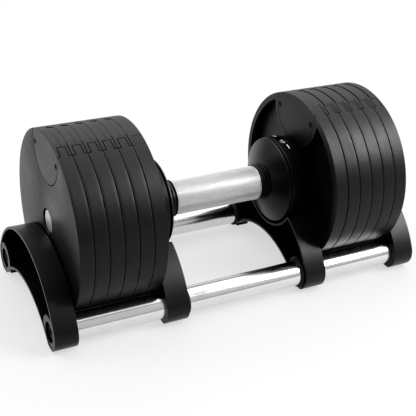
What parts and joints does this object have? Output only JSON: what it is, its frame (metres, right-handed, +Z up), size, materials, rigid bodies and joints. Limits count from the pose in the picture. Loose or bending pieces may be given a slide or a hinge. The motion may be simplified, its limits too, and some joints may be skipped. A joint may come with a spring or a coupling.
{
  "type": "adjustable dumbbell",
  "caption": "Adjustable dumbbell with a knurled twist grip, interlocking round plates on both ends and sliding selector rods, resting in a two-tube cradle with four arched feet.",
  "frame": {"origin": "on the floor, under the middle of the handle, at the bottom centre of the whole object", "axes": "+X along the handle, +Z up, -Y towards the front tube"},
  "size_m": [0.394, 0.175, 0.1775],
  "materials": {
    "plate_coating": "satin black powder coat on steel",
    "insert_plastic": "satin black moulded nylon",
    "arch_plastic": "satin black moulded plastic",
    "hub_plastic": "fine-textured black plastic",
    "cone_plastic": "semi-gloss black plastic",
    "knurled_grip": "diamond-knurled bright plated steel",
    "chrome_tube": "polished chrome plate",
    "rod_steel": "turned and ground steel",
    "machined_steel": "machined steel",
    "dark_steel": "black oxide steel",
    "bearing_bronze": "sintered bronze",
    "rubber": "matte rubber",
    "white_print": "white print"
  },
  "bodies": {
    "cradle": {"front_tube": "chrome_tube", "back_tube": "chrome_tube", "tube_plugs": "dark_steel", "tube_screws": "dark_steel", "tube_collars": "rubber", "rubber_feet": "rubber", "left_outer_arch": "arch_plastic", "left_inner_arch": "arch_plastic", "right_inner_arch": "arch_plastic", "right_outer_arch": "arch_plastic"},
    "dumbbell": {"core_tube": "machined_steel", "left_thrust_washer": "hub_plastic", "right_thrust_washer": "hub_plastic", "left_cone": "cone_plastic", "right_cone": "cone_plastic", "left_hub": "hub_plastic", "right_hub": "hub_plastic", "left_lock_spring": "machined_steel", "right_lock_spring": "machined_steel", "left_rod_bush": "bearing_bronze", "right_rod_bush": "bearing_bronze", "left_end_cup": "plate_coating", "right_end_cup": "plate_coating", "hub_bolts": "dark_steel", "left_plate_1": "plate_coating", "left_plate_2": "plate_coating", "left_plate_3": "plate_coating", "left_plate_4": "plate_coating", "left_plate_5": "plate_coating", "right_plate_1": "plate_coating", "right_plate_2": "plate_coating", "right_plate_3": "plate_coating", "right_plate_4": "plate_coating", "right_plate_5": "plate_coating", "left_cup_cover": "insert_plastic", "right_cup_cover": "insert_plastic", "left_end_cover": "insert_plastic", "right_end_cover": "insert_plastic", "left_groove_inserts": "insert_plastic", "right_groove_inserts": "insert_plastic", "left_tongue_inserts": "insert_plastic", "right_tongue_inserts": "insert_plastic", "insert_screws": "dark_steel", "index_marks": "white_print"},
    "grip": {"grip_sleeve": "knurled_grip", "left_grip_collar": "hub_plastic", "right_grip_collar": "hub_plastic", "left_cam_barrel": "machined_steel", "right_cam_barrel": "machined_steel", "left_dial": "hub_plastic", "right_dial": "hub_plastic"},
    "left_selector": {"left_rod": "rod_steel", "left_follower_pin": "machined_steel"},
    "right_selector": {"right_rod": "rod_steel", "right_follower_pin": "machined_steel"},
    "left_lock": {"left_lock_yoke": "machined_steel"},
    "right_lock": {"right_lock_yoke": "machined_steel"}
  },
  "joints": [
    {"name": "lift", "type": "slide", "parent": "cradle", "child": "dumbbell", "axis": [0, 0, 1], "range_m": [0, 0.15]},
    {"name": "grip_turn", "type": "hinge", "parent": "dumbbell", "child": "grip", "pos_m": [0, 0, 0.09], "axis": [1, 0, 0], "range_deg": [0, 330]},
    {"name": "left_rod_slide", "type": "slide", "parent": "dumbbell", "child": "left_selector", "axis": [1, 0, 0], "range_m": [0, 0.07]},
    {"name": "right_rod_slide", "type": "slide", "parent": "dumbbell", "child": "right_selector", "axis": [-1, 0, 0], "range_m": [0, 0.07]},
    {"name": "left_lock_drop", "type": "slide", "parent": "dumbbell", "child": "left_lock", "axis": [0, 0, -1], "range_m": [0, 0.004], "deforming": ["left_lock_spring"]},
    {"name": "right_lock_drop", "type": "slide", "parent": "dumbbell", "child": "right_lock", "axis": [0, 0, -1], "range_m": [0, 0.004], "deforming": ["right_lock_spring"]}
  ],
  "couplings": [
    {"joint": "left_rod_slide", "follows": "grip_turn", "m_per_rad": 0.01215},
    {"joint": "right_rod_slide", "follows": "grip_turn", "m_per_rad": 0.01215},
    {"joint": "left_lock_drop", "follows": "lift", "ratio": 0.0266},
    {"joint": "right_lock_drop", "follows": "lift", "ratio": 0.0266}
  ]
}
